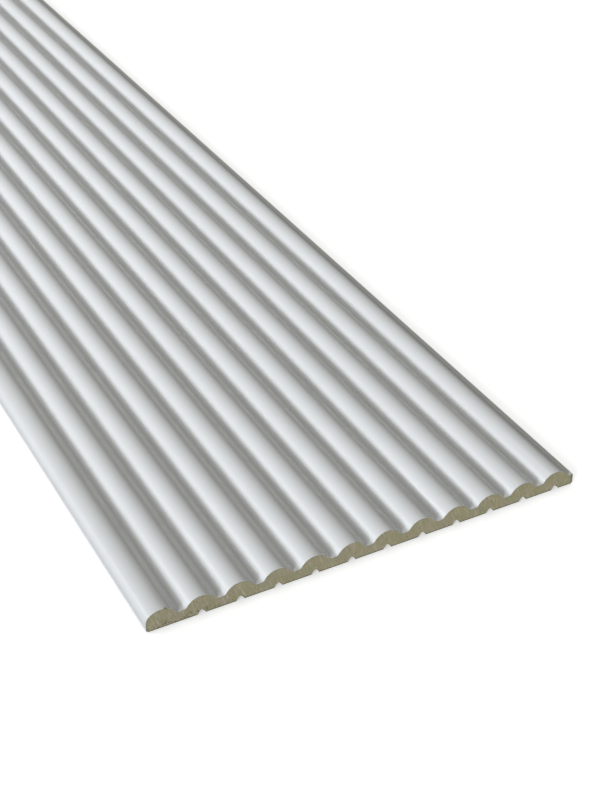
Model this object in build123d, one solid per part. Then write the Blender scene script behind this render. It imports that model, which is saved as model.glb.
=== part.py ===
from build123d import *
import os
from math import cos, hypot, radians, sin

# A fluted wall panel, milled from one board and lying on its back with the reeds up.
# +Y runs along the length, +X across the reeds and +Z out of the fluted face.
# The origin is on the back, at the middle of the panel. Sizes are in mm.

# The board and its row of reeds
panel_length = 2400.0
board_thickness = 11.5
reed_count = 12
reed_pitch = 21.0

# The flutes between the reeds: a flat floor that turns up into each reed with a small radius
flute_depth = 5.2
flute_floor_width = 2.4
flute_corner_radius = 2.0

# The finished long edge, where the first reed rolls over to a plain side. Outwards from the
# middle of that reed a broad crown turns through this angle, then a smaller shoulder turns the rest.
finished_margin = 8.5
edge_crown_radius = 11.0
edge_crown_turn = 33.0
edge_foot_radius = 1.5

# The trimmed long edge, which leaves a narrow strip of flute floor beside the last reed
trim_strip_width = 2.2
trim_foot_chamfer = 0.8

# The relief grooves in the back, one under each reed but the first
groove_mouth = 4.6
groove_top = 1.2
groove_depth = 2.5
groove_nose_radius = 0.8

# A reed is one arc that touches the board's face and both corner radii of the flutes
web_thickness = board_thickness - flute_depth
reed_half_foot = (reed_pitch - flute_floor_width) / 2
reed_radius = (reed_half_foot**2 + flute_depth**2) / (2 * flute_depth) - flute_corner_radius
reed_centre_z = board_thickness - reed_radius

# The point where the reed's arc hands over to the corner radius, measured from the reed's middle
corner_centre_z = web_thickness + flute_corner_radius
centre_distance = hypot(reed_half_foot, corner_centre_z - reed_centre_z)
shoulder_x = reed_half_foot * reed_radius / centre_distance
shoulder_z = reed_centre_z + (corner_centre_z - reed_centre_z) * reed_radius / centre_distance

# The panel's width follows from the reeds and its two edges
trim_margin = reed_half_foot + trim_strip_width
panel_width = finished_margin + (reed_count - 1) * reed_pitch + trim_margin
finished_side_x = -panel_width / 2
trim_side_x = panel_width / 2
reed_middles = [finished_side_x + finished_margin + i * reed_pitch for i in range(reed_count)]

# The shoulder of the finished edge touches the plain side and the end of the crown
crown_across = edge_crown_radius * sin(radians(edge_crown_turn))
crown_end_x = reed_middles[0] - crown_across
crown_end_z = board_thickness - edge_crown_radius * (1 - cos(radians(edge_crown_turn)))
edge_shoulder_radius = (finished_margin - crown_across) / (1 - sin(radians(edge_crown_turn)))
side_top_z = crown_end_z - edge_shoulder_radius * cos(radians(edge_crown_turn))


def finished_edge():
    """The plain side, rounded at its foot and rolled over into the first reed's crest."""
    foot_end_x = finished_side_x + edge_foot_radius
    crown_end = (crown_end_x, crown_end_z)
    TangentArc((finished_side_x, edge_foot_radius), (foot_end_x, 0), tangent=(0, -1))
    Line((finished_side_x, edge_foot_radius), (finished_side_x, side_top_z))
    TangentArc((finished_side_x, side_top_z), crown_end, tangent=(0, 1))
    TangentArc((reed_middles[0], board_thickness), crown_end, tangent=(-1, 0))


def reed_flank(middle, side):
    """One half of a reed, from its crest down to the flute floor; side is -1 or 1."""
    shoulder = (middle + side * shoulder_x, shoulder_z)
    floor_edge = (middle + side * reed_half_foot, web_thickness)
    TangentArc((middle, board_thickness), shoulder, tangent=(side, 0))
    TangentArc(floor_edge, shoulder, tangent=(-side, 0))


def flute_floor(middle):
    """The flat floor between the reed at this middle and the next one."""
    start_x = middle + reed_half_foot
    Line((start_x, web_thickness), (start_x + flute_floor_width, web_thickness))


def trimmed_edge():
    """The strip of floor beside the last reed, the sawn side and the small chamfer at its foot."""
    strip_start_x = trim_side_x - trim_strip_width
    Line((strip_start_x, web_thickness), (trim_side_x, web_thickness))
    Line((trim_side_x, web_thickness), (trim_side_x, trim_foot_chamfer))
    Line((trim_side_x, trim_foot_chamfer), (trim_side_x - trim_foot_chamfer, 0))


def relief_groove():
    """A V groove with a flattened, rounded top, drawn with its mouth on the back of the panel."""
    with BuildSketch() as groove:
        with BuildLine():
            Polyline(
                (-groove_mouth / 2, 0),
                (-groove_top / 2, groove_depth),
                (groove_top / 2, groove_depth),
                (groove_mouth / 2, 0),
                close=True,
            )
        make_face()
        fillet(groove.vertices().group_by(Axis.Y)[-1], groove_nose_radius)
    return groove.sketch


def fluted_panel():
    """The whole panel: one section, drawn across the board and run along its length."""
    with BuildPart() as panel:
        with BuildSketch(Plane.XZ):
            with BuildLine():
                finished_edge()
                reed_flank(reed_middles[0], 1)
                for middle in reed_middles[1:]:
                    flute_floor(middle - reed_pitch)
                    reed_flank(middle, -1)
                    reed_flank(middle, 1)
                trimmed_edge()
                Line((trim_side_x - trim_foot_chamfer, 0), (finished_side_x + edge_foot_radius, 0))
            make_face()
            with Locations([(middle, 0) for middle in reed_middles[1:]]):
                add(relief_groove(), mode=Mode.SUBTRACT)
        extrude(amount=panel_length / 2, both=True)
    return panel.part


os.makedirs("parts", exist_ok=True)
export_step(fluted_panel(), "parts/fluted_panel.step")
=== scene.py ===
import bpy
import bmesh
import math
import random
from mathutils import Matrix, Vector, geometry, noise


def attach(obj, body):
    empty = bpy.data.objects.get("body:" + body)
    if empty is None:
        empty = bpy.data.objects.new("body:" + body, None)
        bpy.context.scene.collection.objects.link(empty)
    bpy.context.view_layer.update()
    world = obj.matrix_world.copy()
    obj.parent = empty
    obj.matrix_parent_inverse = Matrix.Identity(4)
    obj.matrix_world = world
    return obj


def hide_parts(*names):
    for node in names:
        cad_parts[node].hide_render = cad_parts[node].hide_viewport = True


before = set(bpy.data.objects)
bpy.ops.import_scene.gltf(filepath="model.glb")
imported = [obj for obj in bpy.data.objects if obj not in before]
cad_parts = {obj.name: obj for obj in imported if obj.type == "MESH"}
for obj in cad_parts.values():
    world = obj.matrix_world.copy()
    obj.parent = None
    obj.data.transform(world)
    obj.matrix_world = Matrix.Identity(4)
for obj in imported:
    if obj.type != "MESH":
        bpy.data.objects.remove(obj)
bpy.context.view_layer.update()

# The board: one length of medium density fibreboard with twelve half-round reeds run along its
# face by a profile cutter. The left long edge is rolled over and plain, the right one is trimmed
# to a strip of flute floor, and relief grooves run along the back. Section sizes are in mm.
MM = 0.001
panel_length = 2400.0
board_thickness = 11.5
reed_count = 12
reed_pitch = 21.0
flute_depth = 5.2
flute_floor_width = 2.4
flute_corner_radius = 2.0
finished_margin = 8.5
edge_crown_radius = 11.0
edge_crown_turn = math.radians(33)
edge_foot_radius = 1.5
trim_strip_width = 2.2
trim_foot_chamfer = 0.8
trim_arris = 0.35
groove_mouth = 4.6
groove_top = 1.2
groove_depth = 2.5
groove_nose_radius = 0.8
quarter = math.radians(90)

web_thickness = board_thickness - flute_depth
reed_half_foot = (reed_pitch - flute_floor_width) / 2
reed_radius = (reed_half_foot**2 + flute_depth**2) / (2 * flute_depth) - flute_corner_radius
reed_centre_z = board_thickness - reed_radius
corner_centre_z = web_thickness + flute_corner_radius
flank_turn = math.atan2(reed_half_foot, corner_centre_z - reed_centre_z)
crown_across = edge_crown_radius * math.sin(edge_crown_turn)
crown_end_z = board_thickness - edge_crown_radius * (1 - math.cos(edge_crown_turn))
edge_shoulder_radius = (finished_margin - crown_across) / (1 - math.sin(edge_crown_turn))
side_top_z = crown_end_z - edge_shoulder_radius * math.cos(edge_crown_turn)
trim_margin = reed_half_foot + trim_strip_width
panel_width = finished_margin + (reed_count - 1) * reed_pitch + trim_margin
left_x = -panel_width / 2
right_x = panel_width / 2
reed_middles = [left_x + finished_margin + i * reed_pitch for i in range(reed_count)]


def arc(centre_x, centre_z, radius, start, end, steps):
    """Points on an arc, with angles measured from straight up towards +X."""
    turns = [start + (end - start) * i / steps for i in range(steps + 1)]
    return [(centre_x + radius * math.sin(a), centre_z + radius * math.cos(a)) for a in turns]


def straight(start, end, steps):
    """Points on a straight run, both ends included."""
    return [
        (start[0] + (end[0] - start[0]) * i / steps, start[1] + (end[1] - start[1]) * i / steps)
        for i in range(steps + 1)
    ]


def same_place(first, second, within=1e-6):
    """Whether two points of the outline are one and the same."""
    return math.dist(first, second) <= within


def joined(*runs):
    """One run of points, with the points where two runs meet kept once."""
    points = []
    for run in runs:
        for point in run:
            if not points or not same_place(points[-1], point):
                points.append(point)
    return points


def flute_corner(middle_x, start, end):
    """The small arc that turns a flute's floor up into a reed."""
    return arc(middle_x, corner_centre_z, flute_corner_radius, start, end, steps=7)


def coated_line():
    """The outline where it is coated, from the left foot over the reeds to the right arris."""
    foot = edge_foot_radius
    shoulder = edge_shoulder_radius
    crown_z = board_thickness - edge_crown_radius
    runs = [
        arc(left_x + foot, foot, foot, -2 * quarter, -quarter, steps=6),
        straight((left_x, foot), (left_x, side_top_z), steps=5),
        arc(left_x + shoulder, side_top_z, shoulder, -quarter, -edge_crown_turn, steps=12),
        arc(reed_middles[0], crown_z, edge_crown_radius, -edge_crown_turn, 0, steps=12),
    ]
    for i, middle in enumerate(reed_middles):
        if i:
            floor_start = (middle - reed_pitch + reed_half_foot, web_thickness)
            floor_end = (middle - reed_half_foot, web_thickness)
            runs.append(straight(floor_start, floor_end, steps=4))
            runs.append(flute_corner(floor_end[0], 2 * quarter, 2 * quarter - flank_turn))
            runs.append(arc(middle, reed_centre_z, reed_radius, -flank_turn, 0, steps=14))
        runs.append(arc(middle, reed_centre_z, reed_radius, 0, flank_turn, steps=14))
        runs.append(flute_corner(middle + reed_half_foot, -2 * quarter + flank_turn, -2 * quarter))
    strip_start = (right_x - trim_strip_width, web_thickness)
    runs.append(straight(strip_start, (right_x - trim_arris, web_thickness), steps=4))
    return joined(*runs)


def trimmed_line():
    """The outline down the trimmed side, where the saw cut the coating away."""
    arris_z = web_thickness - trim_arris
    chamfer_top = (right_x, trim_foot_chamfer)
    return joined(
        arc(right_x - trim_arris, arris_z, trim_arris, 0, quarter, steps=3),
        straight((right_x, arris_z), chamfer_top, steps=7),
        straight(chamfer_top, (right_x - trim_foot_chamfer, 0), steps=2),
    )


def back_line():
    """The outline along the back, from the right foot to the left one, through the grooves."""
    slant = math.atan2(groove_depth, (groove_mouth - groove_top) / 2)
    nose_x = groove_top / 2 - groove_nose_radius * math.tan(slant / 2)
    nose_z = groove_depth - groove_nose_radius
    land_step = 2
    runs = []
    here = (right_x - trim_foot_chamfer, 0)
    for middle in reversed(reed_middles[1:]):
        right_lip = (middle + groove_mouth / 2, 0)
        left_lip = (middle - groove_mouth / 2, 0)
        land_steps = int(abs(here[0] - middle - groove_mouth / 2) / land_step)
        right_nose = arc(middle + nose_x, nose_z, groove_nose_radius, slant, 0, steps=5)
        left_nose = arc(middle - nose_x, nose_z, groove_nose_radius, 0, -slant, steps=5)
        runs.append(straight(here, right_lip, max(2, land_steps)))
        runs.append(straight(right_lip, right_nose[0], steps=3))
        runs.append(right_nose)
        runs.append(straight(right_nose[-1], left_nose[0], steps=1))
        runs.append(left_nose)
        runs.append(straight(left_nose[-1], left_lip, steps=3))
        here = left_lip
    runs.append(straight(here, (left_x + edge_foot_radius, 0), steps=10))
    return joined(*runs)


def inset(loop, distance):
    """The closed outline, clockwise seen from the near end, moved into the board."""
    sharpest_miter = 0.5
    moved = []
    for i, (x, z) in enumerate(loop):
        here = Vector((x, z))
        arriving = (here - Vector(loop[i - 1])).normalized()
        leaving = (Vector(loop[(i + 1) % len(loop)]) - here).normalized()
        arriving_normal = Vector((arriving.y, -arriving.x))
        leaving_normal = Vector((leaving.y, -leaving.x))
        miter = (arriving_normal + leaving_normal).normalized()
        reach = distance / max(sharpest_miter, miter.dot(arriving_normal))
        moved.append((x + miter.x * reach, z + miter.y * reach))
    return moved


coated = coated_line()
cut_bare = joined(coated, trimmed_line())
outline = joined(cut_bare, back_line())
if same_place(outline[0], outline[-1]):
    outline.pop()
coated_count = len(coated)
bare_count = len(cut_bare)
COAT, SAWN, BACK = 0, 1, 2

# The two sawn ends are real relief. The saw leaves shallow tracks that lean over to the right on
# their way down, and it rounds and lightly chips the rim of the coating. One small knock has
# bared the board beside the first crest of the near end. Sizes are in mm.
saw_lean = math.radians(19)
saw_track_depth = 0.13
rim_round = 0.06
least_wear_share = 0.7
wear_share_spread = 0.6
rim_track_share = 0.5
coat_thickness = 0.08
chip_chance = 0.012
chip_depth = 0.5
knock_x = -114.6
knock_reach = 0.5
knock_depth = 0.9
grain_spacing = 0.52
grain_jitter = grain_spacing * 0.28
grain_from_rim = grain_spacing * 0.6
chips = random.Random(7)


def track(x, z):
    """How far the saw cut into the end at this place."""
    across = x * math.cos(saw_lean) + z * math.sin(saw_lean)
    along = -x * math.sin(saw_lean) + z * math.cos(saw_lean)
    broad = noise.noise(Vector((across * 0.9, along * 0.05, 3.1)))
    fine = noise.noise(Vector((across * 2.6, along * 0.11, 8.4)))
    pit = noise.noise(Vector((x * 1.7, z * 1.7, 5.0)))
    return saw_track_depth * max(0.0, min(1.0, 0.5 + 0.55 * broad + 0.35 * fine + 0.25 * pit))


def end_rows(board, y, inward):
    """The rim of one end: the outline, its rounded rim and the inside line of the coating."""
    rim = inset(outline, rim_round)
    inner = inset(outline, rim_round + coat_thickness)
    outer_row, rim_row, inner_row, chipped = [], [], [], set()
    for i, (x, z) in enumerate(outline):
        wear = rim_round * (least_wear_share + wear_share_spread * chips.random())
        if chips.random() < chip_chance:
            wear += chip_depth * chips.random()
            chipped.add(i)
        if y < 0 and z > web_thickness and abs(x - knock_x) < knock_reach:
            wear = knock_depth
            chipped.add(i)
        outer_row.append(board.verts.new((x * MM, (y + inward * wear) * MM, z * MM)))
        rim_row.append(board.verts.new((rim[i][0] * MM, y * MM, rim[i][1] * MM)))
        depth = inward * track(*inner[i]) * rim_track_share
        inner_row.append(board.verts.new((inner[i][0] * MM, (y + depth) * MM, inner[i][1] * MM)))
    return outer_row, rim_row, inner_row, inner, chipped


def grain_points(line):
    """Loose points inside the outline, one to each tuft of fibre, that carry the saw's relief."""
    shifts = random.Random(11)
    safe = inset(line, grain_from_rim)
    sides_over = {}
    for i in range(len(safe)):
        low = int(min(safe[i - 1][0], safe[i][0]) // 1)
        high = int(max(safe[i - 1][0], safe[i][0]) // 1)
        for cell in range(low, high + 1):
            sides_over.setdefault(cell, []).append((safe[i - 1], safe[i]))
    points = []
    for column in range(int(panel_width / grain_spacing)):
        x = left_x + (column + 0.5) * grain_spacing
        for row in range(int(board_thickness / grain_spacing) + 1):
            px = x + grain_jitter * (shifts.random() - 0.5)
            pz = (row + 0.5 * (column % 2)) * grain_spacing + grain_jitter * (shifts.random() - 0.5)
            above = 0
            for (x0, z0), (x1, z1) in sides_over.get(int(px // 1), []):
                if (x0 > px) != (x1 > px) and pz < (z1 - z0) * (px - x0) / (x1 - x0) + z0:
                    above += 1
            if above % 2:
                points.append((px, pz))
    return points


def sawn_end(board, y, inward):
    """One sawn end: the rim of the coating and a sheet of small faces that follows the tracks."""
    away_from_rim = board.verts.layers.float["away_from_rim"]
    outer_row, rim_row, inner_row, line, chipped = end_rows(board, y, inward)
    count = len(outline)
    faces = []
    for i in range(count):
        j = (i + 1) % count
        bare = i >= coated_count - 1 or i in chipped or j in chipped
        finish = SAWN if bare else COAT
        faces.append(((outer_row[i], outer_row[j], rim_row[j], rim_row[i]), finish))
        faces.append(((rim_row[i], rim_row[j], inner_row[j], inner_row[i]), finish))
    flat = [Vector(p) for p in line + grain_points(line)]
    edges = [(i, (i + 1) % count) for i in range(count)]
    inside_only = 1
    smallest_gap = 1e-5
    sheet = geometry.delaunay_2d_cdt(flat, edges, [], inside_only, smallest_gap)
    points, _, triangles, origins, _, _ = sheet
    corners = []
    for point, origin in zip(points, origins):
        first = min(origin) if origin else count
        if first < count:
            corners.append(inner_row[first])
        else:
            depth = inward * track(point.x, point.y)
            corners.append(board.verts.new((point.x * MM, (y + depth) * MM, point.y * MM)))
            corners[-1][away_from_rim] = 1.0
    for triangle in triangles:
        faces.append((tuple(corners[k] for k in triangle), SAWN))
    for corner_set, finish in faces:
        ordered = corner_set if inward > 0 else tuple(reversed(corner_set))
        face = board.faces.new(ordered)
        face.material_index = finish
        face.smooth = True
    return outer_row


# The whole board: the two sawn ends, and the outline run between them in rows. It is one piece
# of stock, so it is one mesh in place of the plain one.
row_count = 40
sharp_edge = math.radians(28)
half_length = panel_length / 2
board = bmesh.new()
board.verts.layers.float.new("away_from_rim")
near_row = sawn_end(board, -half_length, 1)
far_row = sawn_end(board, half_length, -1)
rows = [near_row]
for step in range(1, row_count):
    y = -half_length + panel_length * step / row_count
    rows.append([board.verts.new((x * MM, y * MM, z * MM)) for x, z in outline])
rows.append(far_row)
for front, behind in zip(rows, rows[1:]):
    for i in range(len(outline)):
        j = (i + 1) % len(outline)
        face = board.faces.new((front[j], front[i], behind[i], behind[j]))
        face.material_index = COAT if i < coated_count - 1 else SAWN if i < bare_count - 1 else BACK
        face.smooth = True
bmesh.ops.recalc_face_normals(board, faces=board.faces)
for edge in board.edges:
    if len(edge.link_faces) == 2 and edge.calc_face_angle() > sharp_edge:
        edge.smooth = False
panel_mesh = bpy.data.meshes.new("coated_panel")
board.to_mesh(panel_mesh)
board.free()
panel = bpy.data.objects.new("coated_panel", panel_mesh)
bpy.context.collection.objects.link(panel)
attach(panel, "root")
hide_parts("fluted_panel")


# The lines that the saw, the sanding belt and the sanding of the coat draw across the board: thin,
# and lighter or darker than the rest. Lean turns them in the plane of X and Z, and Stretch says
# how many times longer they are along each axis.
def feed(tree, value, socket):
    """Joins an output to a socket, or sets the socket to a plain value."""
    if isinstance(value, bpy.types.NodeSocket):
        tree.links.new(value, socket)
    else:
        socket.default_value = value


def add(tree, kind, *in_order, **by_name):
    """A node with its inputs fed in order or by name, with _ for a space, and its settings."""
    made = tree.nodes.new(kind)
    for name, value in by_name.items():
        if hasattr(made, name):
            setattr(made, name, value)
        else:
            feed(tree, value, made.inputs[name.replace("_", " ")])
    for place, value in enumerate(in_order):
        feed(tree, value, made.inputs[place])
    return made


def cloudy(tree, place, scale, **settings):
    """Soft noise over the surface; the scale is how many lumps go to a millimetre."""
    return add(tree, "ShaderNodeTexNoise", Vector=place, Scale=scale, **settings).outputs[0]


def ramped(tree, value, low, high, to_low=0.0, to_high=1.0):
    """A value carried from one range to another and held at its ends."""
    made = add(tree, "ShaderNodeMapRange", Value=value, From_Min=low, From_Max=high,
               To_Min=to_low, To_Max=to_high)
    return made.outputs["Result"]


def maths(tree, operation, first, second=0.0):
    """One sum on two values, each a number or an output."""
    return add(tree, "ShaderNodeMath", first, second, operation=operation).outputs[0]


def new_group(name, takes, gives):
    """A shader node group with named sockets; returns it with its inputs and its output node."""
    group = bpy.data.node_groups.new(name, "ShaderNodeTree")
    for label, kind, value in takes:
        socket = group.interface.new_socket(label, in_out="INPUT", socket_type=kind)
        if value is not None:
            socket.default_value = value
    for label, kind in gives:
        group.interface.new_socket(label, in_out="OUTPUT", socket_type=kind)
    return group, group.nodes.new("NodeGroupInput").outputs, group.nodes.new("NodeGroupOutput")


def give(group, gate, **outputs):
    """Joins values to a group's outputs."""
    for name, value in outputs.items():
        group.links.new(value, gate.inputs[name])


FLOAT, COLOUR, VECTOR = "NodeSocketFloat", "NodeSocketColor", "NodeSocketVector"
drawn_lines, given, gate = new_group(
    "drawn_lines",
    [("Position", VECTOR, None), ("Across", FLOAT, 1.0), ("Stretch", VECTOR, (1.0, 1.0, 1.0)),
     ("Lean", FLOAT, 0.0), ("Seed", FLOAT, 0.0)],
    [("Broad", FLOAT), ("Fine", FLOAT), ("Line", FLOAT)],
)
turned = add(drawn_lines, "ShaderNodeVectorRotate", rotation_type="Y_AXIS",
             Vector=given["Position"], Angle=given["Lean"]).outputs[0]
drawn = add(drawn_lines, "ShaderNodeVectorMath", turned, given["Stretch"], operation="DIVIDE").outputs[0]
broad_lines = cloudy(drawn_lines, drawn, given["Across"], noise_dimensions="4D", W=given["Seed"],
                     Detail=2.0, Roughness=0.5)
fine_share = 4.3
fine_scale = maths(drawn_lines, "MULTIPLY", given["Across"], fine_share)
fine_lines = cloudy(drawn_lines, drawn, fine_scale, noise_dimensions="4D", W=given["Seed"],
                    Detail=3.0, Roughness=0.6)
edge_of_line = maths(drawn_lines, "ABSOLUTE", maths(drawn_lines, "SUBTRACT", broad_lines, 0.5))
thin_line = ramped(drawn_lines, edge_of_line, 0.008, 0.03, 1.0, 0.0)
give(drawn_lines, gate, Broad=broad_lines, Fine=fine_lines, Line=thin_line)


# The fibreboard itself shows at both sawn ends, on the trimmed side and on the back. It is an
# olive tan felt of wood fibre and resin, greener and pinker in soft patches, with a fine mottle
# and a few dark bark flecks.
def mixed(tree, factor, first, second, blend="MIX"):
    """A blend of two colours, each a colour or an output."""
    made = add(tree, "ShaderNodeMix", data_type="RGBA", blend_type=blend)
    first_colour, second_colour, colour_out = 6, 7, 2
    feed(tree, factor, made.inputs[0])
    feed(tree, first, made.inputs[first_colour])
    feed(tree, second, made.inputs[second_colour])
    return made.outputs[colour_out]


felt_shadow = (0.72, 0.72, 0.70, 1.0)
felt_light = (1.22, 1.22, 1.24, 1.0)
fleck_brown = (0.055, 0.045, 0.028, 1.0)
felt, given, gate = new_group(
    "fibre_felt",
    [("Position", VECTOR, None), ("Tan", COLOUR, None), ("Green", COLOUR, None), ("Pink", COLOUR, None),
     ("Mottle", FLOAT, 0.5), ("Flecks", FLOAT, 0.5)],
    [("Color", COLOUR), ("Height", FLOAT)],
)
patch = cloudy(felt, given["Position"], 0.16, Detail=3.0, Roughness=0.6)
hue = mixed(felt, ramped(felt, patch, 0.36, 0.52), given["Green"], given["Tan"])
hue = mixed(felt, ramped(felt, patch, 0.54, 0.70), hue, given["Pink"])
tufts = cloudy(felt, given["Position"], 1.5, Detail=5.0, Roughness=0.68)
dark_hue = mixed(felt, 1.0, hue, felt_shadow, "MULTIPLY")
light_hue = mixed(felt, 1.0, hue, felt_light, "MULTIPLY")
tufted = mixed(felt, ramped(felt, tufts, 0.25, 0.75), dark_hue, light_hue)
mottled = mixed(felt, given["Mottle"], hue, tufted)
specks = add(felt, "ShaderNodeTexVoronoi", Vector=given["Position"], Scale=0.62, Randomness=1.0)
near_speck = ramped(felt, specks.outputs["Distance"], 0.10, 0.22, 1.0, 0.0)
lot = add(felt, "ShaderNodeSeparateColor", Color=specks.outputs["Color"]).outputs[0]
chosen = ramped(felt, lot, 0.80, 0.84)
fleck = maths(felt, "MULTIPLY", maths(felt, "MULTIPLY", near_speck, chosen), given["Flecks"])
flecked = mixed(felt, fleck, mottled, fleck_brown)
hairs = cloudy(felt, given["Position"], 5.5, Detail=4.0, Roughness=0.7)
felt_height = maths(felt, "ADD", maths(felt, "MULTIPLY", tufts, 0.6), maths(felt, "MULTIPLY", hairs, 0.4))
give(felt, gate, Color=flecked, Height=felt_height)


# The coating: a smooth satin white primer sprayed on the face and both long edges and sanded
# along the length, with a very slight orange peel.
def new_finish(name):
    """A material with its Principled shader and the place on the panel in millimetres."""
    finish = bpy.data.materials.new(name)
    finish.use_nodes = True
    tree = finish.node_tree
    place = add(tree, "ShaderNodeTexCoord").outputs["Object"]
    in_mm = add(tree, "ShaderNodeVectorMath", place, operation="SCALE", Scale=1 / MM).outputs[0]
    return finish, tree, tree.nodes["Principled BSDF"], in_mm


def grouped(tree, group, **settings):
    """A placed node group with its inputs set."""
    return add(tree, "ShaderNodeGroup", node_tree=group, **settings).outputs


def textured(tree, shader, height, strength, depth):
    """Gives the shader a fine relief of this depth."""
    bump = add(tree, "ShaderNodeBump", Strength=strength, Distance=depth, Height=height)
    tree.links.new(bump.outputs[0], shader.inputs["Normal"])


coat_white = (0.785, 0.785, 0.785, 1.0)
coat_shadow_white = (0.76, 0.76, 0.755, 1.0)
peel_depth = 0.012 * MM
coating, tree, shader, in_mm = new_finish("satin_white_coating")
cloud = cloudy(tree, in_mm, 0.035, Detail=4.0, Roughness=0.55)
sanding = grouped(tree, drawn_lines, Position=in_mm, Across=0.9, Stretch=(1.0, 70.0, 1.0), Seed=2.0)
cloud_tone = ramped(tree, cloud, 0.35, 0.65, 0.0, 0.6)
sanding_tone = ramped(tree, sanding["Broad"], 0.3, 0.7, 0.0, 0.4)
tone = maths(tree, "ADD", cloud_tone, sanding_tone)
tree.links.new(mixed(tree, tone, coat_shadow_white, coat_white), shader.inputs["Base Color"])
tree.links.new(ramped(tree, cloud, 0.3, 0.7, 0.28, 0.34), shader.inputs["Roughness"])
shader.inputs["IOR"].default_value = 1.45
peel = maths(tree, "MULTIPLY", cloudy(tree, in_mm, 0.85, Detail=2.0, Roughness=0.4), 0.7)
scratches = maths(tree, "MULTIPLY", sanding["Fine"], 0.3)
textured(tree, shader, maths(tree, "ADD", peel, scratches), 0.3, peel_depth)
panel_mesh.materials.append(coating)

# The sawn ends and the trimmed side: bare board with the saw's leaning tracks, thin lines of
# fibre burnished lighter, a cluster of bark flecks low on the left, a darker band along the back
# edge that is partly the board's denser skin and partly painted contact shade, and a darker strip
# beside the trimmed side on the ends. Places are in mm.
track_pale = (0.66, 0.61, 0.45, 1.0)
track_dull = (0.30, 0.285, 0.165, 1.0)
bark_brown = (0.11, 0.10, 0.055, 1.0)
warm_tint = (1.0, 1.0, 0.955, 1.0)
cool_tint = (1.0, 0.993, 1.04, 1.0)
rim_brown = (0.22, 0.215, 0.12, 1.0)
dark_margin_brown = (0.15, 0.145, 0.085, 1.0)
cluster_middle = (-106.0, 1.7)
cluster_reach = (26.0, 2.8)
end_depth = 0.5
trimmed_side_dark_start = right_x - 1.5
trimmed_side_dark_full = right_x - 0.9
saw_texture_depth = 0.12 * MM
sawn, tree, shader, in_mm = new_finish("sawn_board")
place_x, place_y, place_z = add(tree, "ShaderNodeSeparateXYZ", Vector=in_mm).outputs
off_x = maths(tree, "DIVIDE", maths(tree, "SUBTRACT", place_x, cluster_middle[0]), cluster_reach[0])
off_z = maths(tree, "DIVIDE", maths(tree, "SUBTRACT", place_z, cluster_middle[1]), cluster_reach[1])
off = maths(tree, "ADD", maths(tree, "POWER", off_x, 2.0), maths(tree, "POWER", off_z, 2.0))
crowd = ramped(tree, off, 0.25, 1.0, 1.0, 0.0)
fibre = grouped(tree, felt, Position=in_mm, Tan=(0.505, 0.45, 0.29, 1.0),
                Green=(0.455, 0.435, 0.262, 1.0), Pink=(0.545, 0.46, 0.322, 1.0),
                Mottle=0.6, Flecks=0.8)
tracks = grouped(tree, drawn_lines, Position=in_mm, Across=0.42, Stretch=(1.0, 1.0, 9.0),
                 Lean=saw_lean, Seed=5.0)
dull = ramped(tree, tracks["Fine"], 0.34, 0.46, 0.5, 0.0)
dulled = mixed(tree, dull, fibre["Color"], track_dull)
bark = cloudy(tree, in_mm, 0.95, noise_dimensions="4D", W=2.3, Detail=3.0, Roughness=0.55,
              Distortion=0.5)
bark_here = maths(tree, "MULTIPLY", ramped(tree, bark, 0.548, 0.60), crowd)
barked = mixed(tree, maths(tree, "MULTIPLY", bark_here, 0.95), dulled, bark_brown)
broken = ramped(tree, tracks["Fine"], 0.46, 0.56)
pale = maths(tree, "MULTIPLY", maths(tree, "MULTIPLY", tracks["Line"], broken), 0.75)
burnished = mixed(tree, pale, barked, track_pale)
warmth = cloudy(tree, in_mm, 0.05, Detail=1.0, Roughness=0.5)
tint = mixed(tree, ramped(tree, warmth, 0.38, 0.62), warm_tint, cool_tint)
tinted = mixed(tree, 1.0, burnished, tint, "MULTIPLY")
from_rim = add(tree, "ShaderNodeAttribute", attribute_name="away_from_rim").outputs["Fac"]
on_end = maths(tree, "GREATER_THAN", maths(tree, "ABSOLUTE", place_y), panel_length / 2 - end_depth)
rim_shade = maths(tree, "MULTIPLY", ramped(tree, from_rim, 0.0, 0.9, 0.35, 0.0), on_end)
rimmed = mixed(tree, rim_shade, tinted, rim_brown)
# Painted contact shade along the back edge, partly the board's denser skin: darker towards the bottom.
back_skin_and_contact_shade = ramped(tree, place_z, 0.25, 0.85, 0.9, 0.0)
# Darker within 1.5 mm of the trimmed side; this is used on the ends only.
trimmed_side_dark = ramped(tree, place_x, trimmed_side_dark_start, trimmed_side_dark_full, 0.0, 0.62)
dark_margins = maths(tree, "MAXIMUM", back_skin_and_contact_shade, maths(tree, "MULTIPLY", trimmed_side_dark, on_end))
tree.links.new(mixed(tree, dark_margins, rimmed, dark_margin_brown), shader.inputs["Base Color"])
shader.inputs["Roughness"].default_value = 0.85
shader.inputs["Specular IOR Level"].default_value = 0.3
cut = maths(tree, "ADD", fibre["Height"], maths(tree, "MULTIPLY", tracks["Fine"], 0.8))
textured(tree, shader, cut, 0.6, saw_texture_depth)
panel_mesh.materials.append(sawn)

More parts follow.
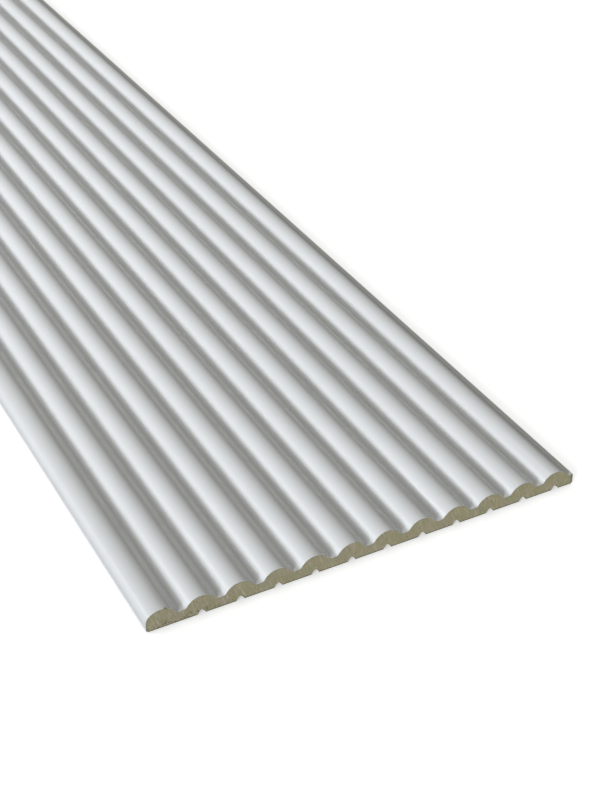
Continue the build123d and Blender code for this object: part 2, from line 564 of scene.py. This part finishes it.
# The back: the same board, belt sanded along its length, with lighter sanding lines, cloudy
# patches of dust and resin, and the relief grooves milled into it, coloured darker inside.
dust_pale = (0.60, 0.555, 0.42, 1.0)
resin_brown = (0.33, 0.285, 0.175, 1.0)
rubbed_pale = (0.66, 0.61, 0.47, 1.0)
scored_brown = (0.34, 0.30, 0.19, 1.0)
groove_brown = (0.29, 0.25, 0.155, 1.0)
belt_texture_depth = 0.1 * MM
back, tree, shader, in_mm = new_finish("sanded_back")
fibre = grouped(tree, felt, Position=in_mm, Tan=(0.50, 0.445, 0.30, 1.0),
                Green=(0.45, 0.415, 0.27, 1.0), Pink=(0.53, 0.45, 0.325, 1.0),
                Mottle=0.85, Flecks=0.75)
belt = grouped(tree, drawn_lines, Position=in_mm, Across=1.1, Stretch=(1.0, 60.0, 1.0), Seed=9.0)
clouds = cloudy(tree, in_mm, 0.018, Detail=4.0, Roughness=0.6, Distortion=0.8)
dusted = mixed(tree, ramped(tree, clouds, 0.42, 0.66, 0.0, 0.5), fibre["Color"], dust_pale)
resined = mixed(tree, ramped(tree, clouds, 0.30, 0.44, 0.4, 0.0), dusted, resin_brown)
rubbed = mixed(tree, ramped(tree, belt["Fine"], 0.45, 0.68, 0.0, 0.5), resined, rubbed_pale)
scored = mixed(tree, ramped(tree, belt["Broad"], 0.30, 0.46, 0.45, 0.0), rubbed, scored_brown)
height_z = add(tree, "ShaderNodeSeparateXYZ", Vector=in_mm).outputs["Z"]
# The grooves are coloured darker from just above the back face inwards.
grooves_darkened = mixed(tree, ramped(tree, height_z, 0.05, 0.5, 0.0, 0.45), scored, groove_brown)
tree.links.new(grooves_darkened, shader.inputs["Base Color"])
tree.links.new(ramped(tree, belt["Broad"], 0.3, 0.7, 0.62, 0.80), shader.inputs["Roughness"])
worn = maths(tree, "ADD", fibre["Height"], maths(tree, "MULTIPLY", belt["Fine"], 1.2))
textured(tree, shader, worn, 0.6, belt_texture_depth)
panel_mesh.materials.append(back)

# The studio floor: plain white paper just under the panel. It shows white to the camera and keeps
# the panel's shadow, and its glow carries a painted contact shadow, darker where the panel closes
# it off. Stage sizes are in m.
white = (1.0, 1.0, 1.0, 1.0)
seen_grey = (0.7, 0.7, 0.7, 1.0)
lit_grey = (0.32, 0.32, 0.32, 1.0)
half_floor = 12.0
floor_drop = 0.0002
floor_glow = 0.80
shadow_reach = 0.03
floor_corners = [(x * half_floor, y * half_floor, 0) for x, y in ((-1, -1), (1, -1), (1, 1), (-1, 1))]
floor_mesh = bpy.data.meshes.new("studio_floor")
floor_mesh.from_pydata(floor_corners, [], [(0, 1, 2, 3)])
floor = bpy.data.objects.new("studio_floor", floor_mesh)
floor.location.z = -floor_drop
bpy.context.collection.objects.link(floor)
paper = bpy.data.materials.new("white_paper")
paper.use_nodes = True
tree = paper.node_tree
tree.nodes.remove(tree.nodes["Principled BSDF"])
shown = add(tree, "ShaderNodeLightPath").outputs["Is Camera Ray"]
matt = add(tree, "ShaderNodeBsdfDiffuse", Color=mixed(tree, shown, lit_grey, seen_grey))
# Ambient occlusion dims the glow: a painted contact shadow around the panel.
open_share = add(tree, "ShaderNodeAmbientOcclusion", samples=8, Distance=shadow_reach).outputs["AO"]
shaded = ramped(tree, open_share, 0.5, 0.92, 0.58, 1.0)
glow_strength = maths(tree, "MULTIPLY", maths(tree, "MULTIPLY", shown, floor_glow), shaded)
glow = add(tree, "ShaderNodeEmission", Color=white, Strength=glow_strength)
both = add(tree, "ShaderNodeAddShader", matt.outputs[0], glow.outputs[0])
tree.links.new(both.outputs[0], tree.nodes["Material Output"].inputs["Surface"])
floor_mesh.materials.append(paper)

# The surround: a dim, pale room that lights the panel a little from all sides. The camera sees
# it white, and so does the coating's gloss where it looks up.
surround = 0.23
surround_colour = (surround, surround, surround * 0.91, 1.0)
world = bpy.data.worlds.new("studio")
bpy.context.scene.world = world
world.use_nodes = True
tree = world.node_tree
rays = add(tree, "ShaderNodeLightPath").outputs
direction = add(tree, "ShaderNodeTexCoord").outputs["Generated"]
rise = add(tree, "ShaderNodeSeparateXYZ", Vector=direction).outputs["Z"]
reflected = mixed(tree, ramped(tree, rise, 0.05, 0.40), surround_colour, white)
around = mixed(tree, rays["Is Glossy Ray"], surround_colour, reflected)
backdrop = mixed(tree, rays["Is Camera Ray"], around, white)
tree.links.new(backdrop, tree.nodes["Background"].inputs["Color"])

# The broad soft light comes low from the left and a little from the front of the sawn end. It is
# cool, and its edges are soft enough to blur the shade of each reed.
lamp_colour = (0.957, 1.0, 1.055)
key_rise = math.radians(24)
key_front = math.radians(30.7)
key_strength = 2.2
key_softness = math.radians(20.5)
key_data = bpy.data.lights.new("soft_key", "SUN")
key_data.energy = key_strength
key_data.angle = key_softness
key_data.color = lamp_colour
key = bpy.data.objects.new("soft_key", key_data)
from_left = Vector((-math.cos(key_rise), 0, math.sin(key_rise)))
towards = (from_left * math.cos(key_front) + Vector((0, -math.sin(key_front), 0))).normalized()
key.rotation_mode = "QUATERNION"
key.rotation_quaternion = towards.to_track_quat("Z", "Y")
bpy.context.collection.objects.link(key)

# A soft round lamp stands nearer on the same side, level with the first half of the panel, so
# that the light falls off towards the sawn end and towards the trimmed edge.
near_lamp_size = 0.45
near_lamp_power = 6.5
near_lamp_place = (-1.2, -0.4, 0.54)
near_lamp_aim = Vector((0.0, -0.4, 0.0))
near_lamp_data = bpy.data.lights.new("soft_near_lamp", "AREA")
near_lamp_data.shape = "DISK"
near_lamp_data.size = near_lamp_size
near_lamp_data.energy = near_lamp_power
near_lamp_data.color = lamp_colour
near_lamp = bpy.data.objects.new("soft_near_lamp", near_lamp_data)
near_lamp.location = near_lamp_place
near_lamp.rotation_mode = "QUATERNION"
near_lamp.rotation_quaternion = (near_lamp.location - near_lamp_aim).to_track_quat("Z", "Y")
near_lamp.visible_camera = False
bpy.context.collection.objects.link(near_lamp)

# The camera stands to the left of the sawn end, looks along the reeds and down at the panel. It
# is turned to the right of the reeds, tipped down and slightly rolled, in radians.
turn, tip, roll = 0.47995, 0.60079, 0.00673
camera_place = (-0.30816, -1.71299, 0.50505)
camera_data = bpy.data.cameras.new("camera")
camera_data.sensor_width = 36.0
camera_data.lens = 68.240
camera_data.clip_start = 0.01
camera_data.clip_end = 60.0
camera = bpy.data.objects.new("camera", camera_data)
bpy.context.collection.objects.link(camera)
bpy.context.scene.camera = camera
ahead = Vector((math.sin(turn) * math.cos(tip), math.cos(turn) * math.cos(tip), -math.sin(tip)))
right = ahead.cross(Vector((0, 0, 1))).normalized()
down = ahead.cross(right)
rolled_right = right * math.cos(roll) + down * math.sin(roll)
rolled_down = down * math.cos(roll) - right * math.sin(roll)
stand = Matrix.Identity(4)
for axis, side in enumerate((rolled_right, -rolled_down, -ahead)):
    for row in range(3):
        stand[row][axis] = side[row]
stand.translation = camera_place
camera.matrix_world = stand

bpy.context.scene.view_settings.view_transform = "Standard"
